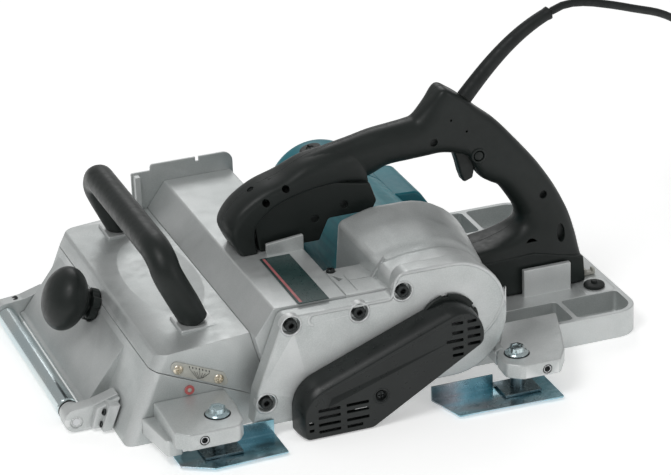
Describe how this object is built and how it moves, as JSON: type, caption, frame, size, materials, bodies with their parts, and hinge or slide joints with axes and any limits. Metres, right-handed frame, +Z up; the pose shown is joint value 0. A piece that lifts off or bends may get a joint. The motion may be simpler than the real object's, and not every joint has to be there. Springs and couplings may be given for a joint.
{
  "type": "electric hand planer",
  "caption": "Wide electric hand planer with a belt-driven cutter drum, sliding front sole, front roller, loop handle, bar grip, chip outlet and edge guides.",
  "frame": {"origin": "bottom centre of the planer's bounding box, cord left out, on the sole plane", "axes": "+X from the front roller to the back, +Y from the belt side to the chip outlet, +Z up from the sole"},
  "size_m": [0.9923, 0.4488, 0.3425],
  "materials": {
    "silver_casting": "painted silver-grey",
    "black_plastic": "satin",
    "teal_plastic": "satin",
    "machined_steel": "turned",
    "turned_aluminium": "turned",
    "zinc_plated": "zinc plated",
    "black_bolt": "black oxide",
    "commutator_copper": "turned",
    "brush_carbon": "matt",
    "black_rubber": "matt",
    "scale_plate": "printed",
    "red_pointer": "matt",
    "dark_plate": "satin"
  },
  "bodies": {
    "planer": {"rear_base": "silver_casting", "rear_buffer": "black_rubber", "front_housing": "silver_casting", "front_grip": "black_plastic", "main_casing": "silver_casting", "side_casing": "silver_casting", "casing_bolt_1": "black_bolt", "casing_bolt_2": "black_bolt", "casing_bolt_3": "black_bolt", "casing_bolt_4": "black_bolt", "belt_cover": "black_plastic", "outlet_lip": "silver_casting", "motor_housing": "teal_plastic", "stator": "machined_steel", "brush_cap_front": "black_plastic", "brush_cap_back": "black_plastic", "carbon_brush_front": "brush_carbon", "carbon_brush_back": "brush_carbon", "motor_bearing_near": "machined_steel", "motor_bearing_far": "machined_steel", "drum_bearing_near": "machined_steel", "drum_bearing_far": "machined_steel", "drive_belt": "black_rubber", "handle_near": "black_plastic", "handle_far": "black_plastic", "switch_body": "black_plastic", "rear_bracket": "silver_casting", "rear_guide_bolt": "zinc_plated", "rear_clamp_plate": "zinc_plated", "depth_scale": "scale_plate", "type_plate": "dark_plate", "strain_relief": "black_rubber", "cord": "black_rubber", "cord_coil": "black_rubber", "plug": "black_plastic"},
    "front_sole": {"front_base": "silver_casting", "roller_axle": "machined_steel", "roller_arm_near": "silver_casting", "roller_arm_far": "silver_casting", "front_bracket": "silver_casting", "front_guide_bolt": "zinc_plated", "front_clamp_plate": "zinc_plated", "depth_pointer": "red_pointer"},
    "roller": {"front_roller": "zinc_plated"},
    "depth_adjuster": {"depth_knob": "black_plastic", "depth_screw": "machined_steel"},
    "rotor": {"armature": "machined_steel", "commutator": "commutator_copper", "cooling_fan": "black_plastic", "motor_pulley": "machined_steel"},
    "drum": {"cutter_drum": "turned_aluminium", "blade_1": "machined_steel", "blade_2": "machined_steel", "blade_clamp_1": "machined_steel", "blade_clamp_2": "machined_steel", "drum_pulley": "machined_steel"},
    "trigger_key": {"trigger": "black_plastic"},
    "lock_key": {"lock_button": "black_plastic"},
    "front_guide": {"front_guide_plate": "zinc_plated"},
    "rear_guide": {"rear_guide_plate": "zinc_plated"}
  },
  "joints": [
    {"name": "front_sole_slide", "type": "slide", "parent": "planer", "child": "front_sole", "axis": [-0.9135, 0, 0.4067], "range_m": [0, 0.0086]},
    {"name": "depth_knob_turn", "type": "hinge", "parent": "front_sole", "child": "depth_adjuster", "pos_m": [-0.27, 0.0495, 0.087], "axis": [-0.9135, 0, 0.4067], "range_deg": [0, 1440]},
    {"name": "front_roller_spin", "type": "hinge", "parent": "front_sole", "child": "roller", "pos_m": [-0.301, 0.0445, 0.012], "axis": [0, 1, 0], "continuous": true},
    {"name": "cutter_drum_spin", "type": "hinge", "parent": "planer", "child": "drum", "pos_m": [-0.072, 0.0445, 0.033], "axis": [0, 1, 0], "continuous": true},
    {"name": "armature_spin", "type": "hinge", "parent": "planer", "child": "rotor", "pos_m": [0.068, 0.0445, 0.087], "axis": [0, 1, 0], "continuous": true},
    {"name": "trigger_pull", "type": "hinge", "parent": "planer", "child": "trigger_key", "pos_m": [0.158, 0.0025, 0.204], "axis": [0, -1, 0], "range_deg": [0, 9], "stiffness_Nm_per_rad": 1.2, "springref_deg": -6.88},
    {"name": "lock_button_press", "type": "slide", "parent": "planer", "child": "lock_key", "axis": [0, 1, 0], "range_m": [0, 0.003], "stiffness_N_per_m": 500, "springref_m": -0.002},
    {"name": "front_guide_slide", "type": "slide", "parent": "front_sole", "child": "front_guide", "axis": [0, 1, 0], "range_m": [-0.01, 0.001]},
    {"name": "rear_guide_slide", "type": "slide", "parent": "planer", "child": "rear_guide", "axis": [0, 1, 0], "range_m": [-0.01, 0.01]}
  ],
  "couplings": [
    {"joint": "depth_knob_turn", "follows": "front_sole_slide", "rad_per_m": 2922.4},
    {"joint": "armature_spin", "follows": "cutter_drum_spin", "ratio": 0.77273}
  ]
}
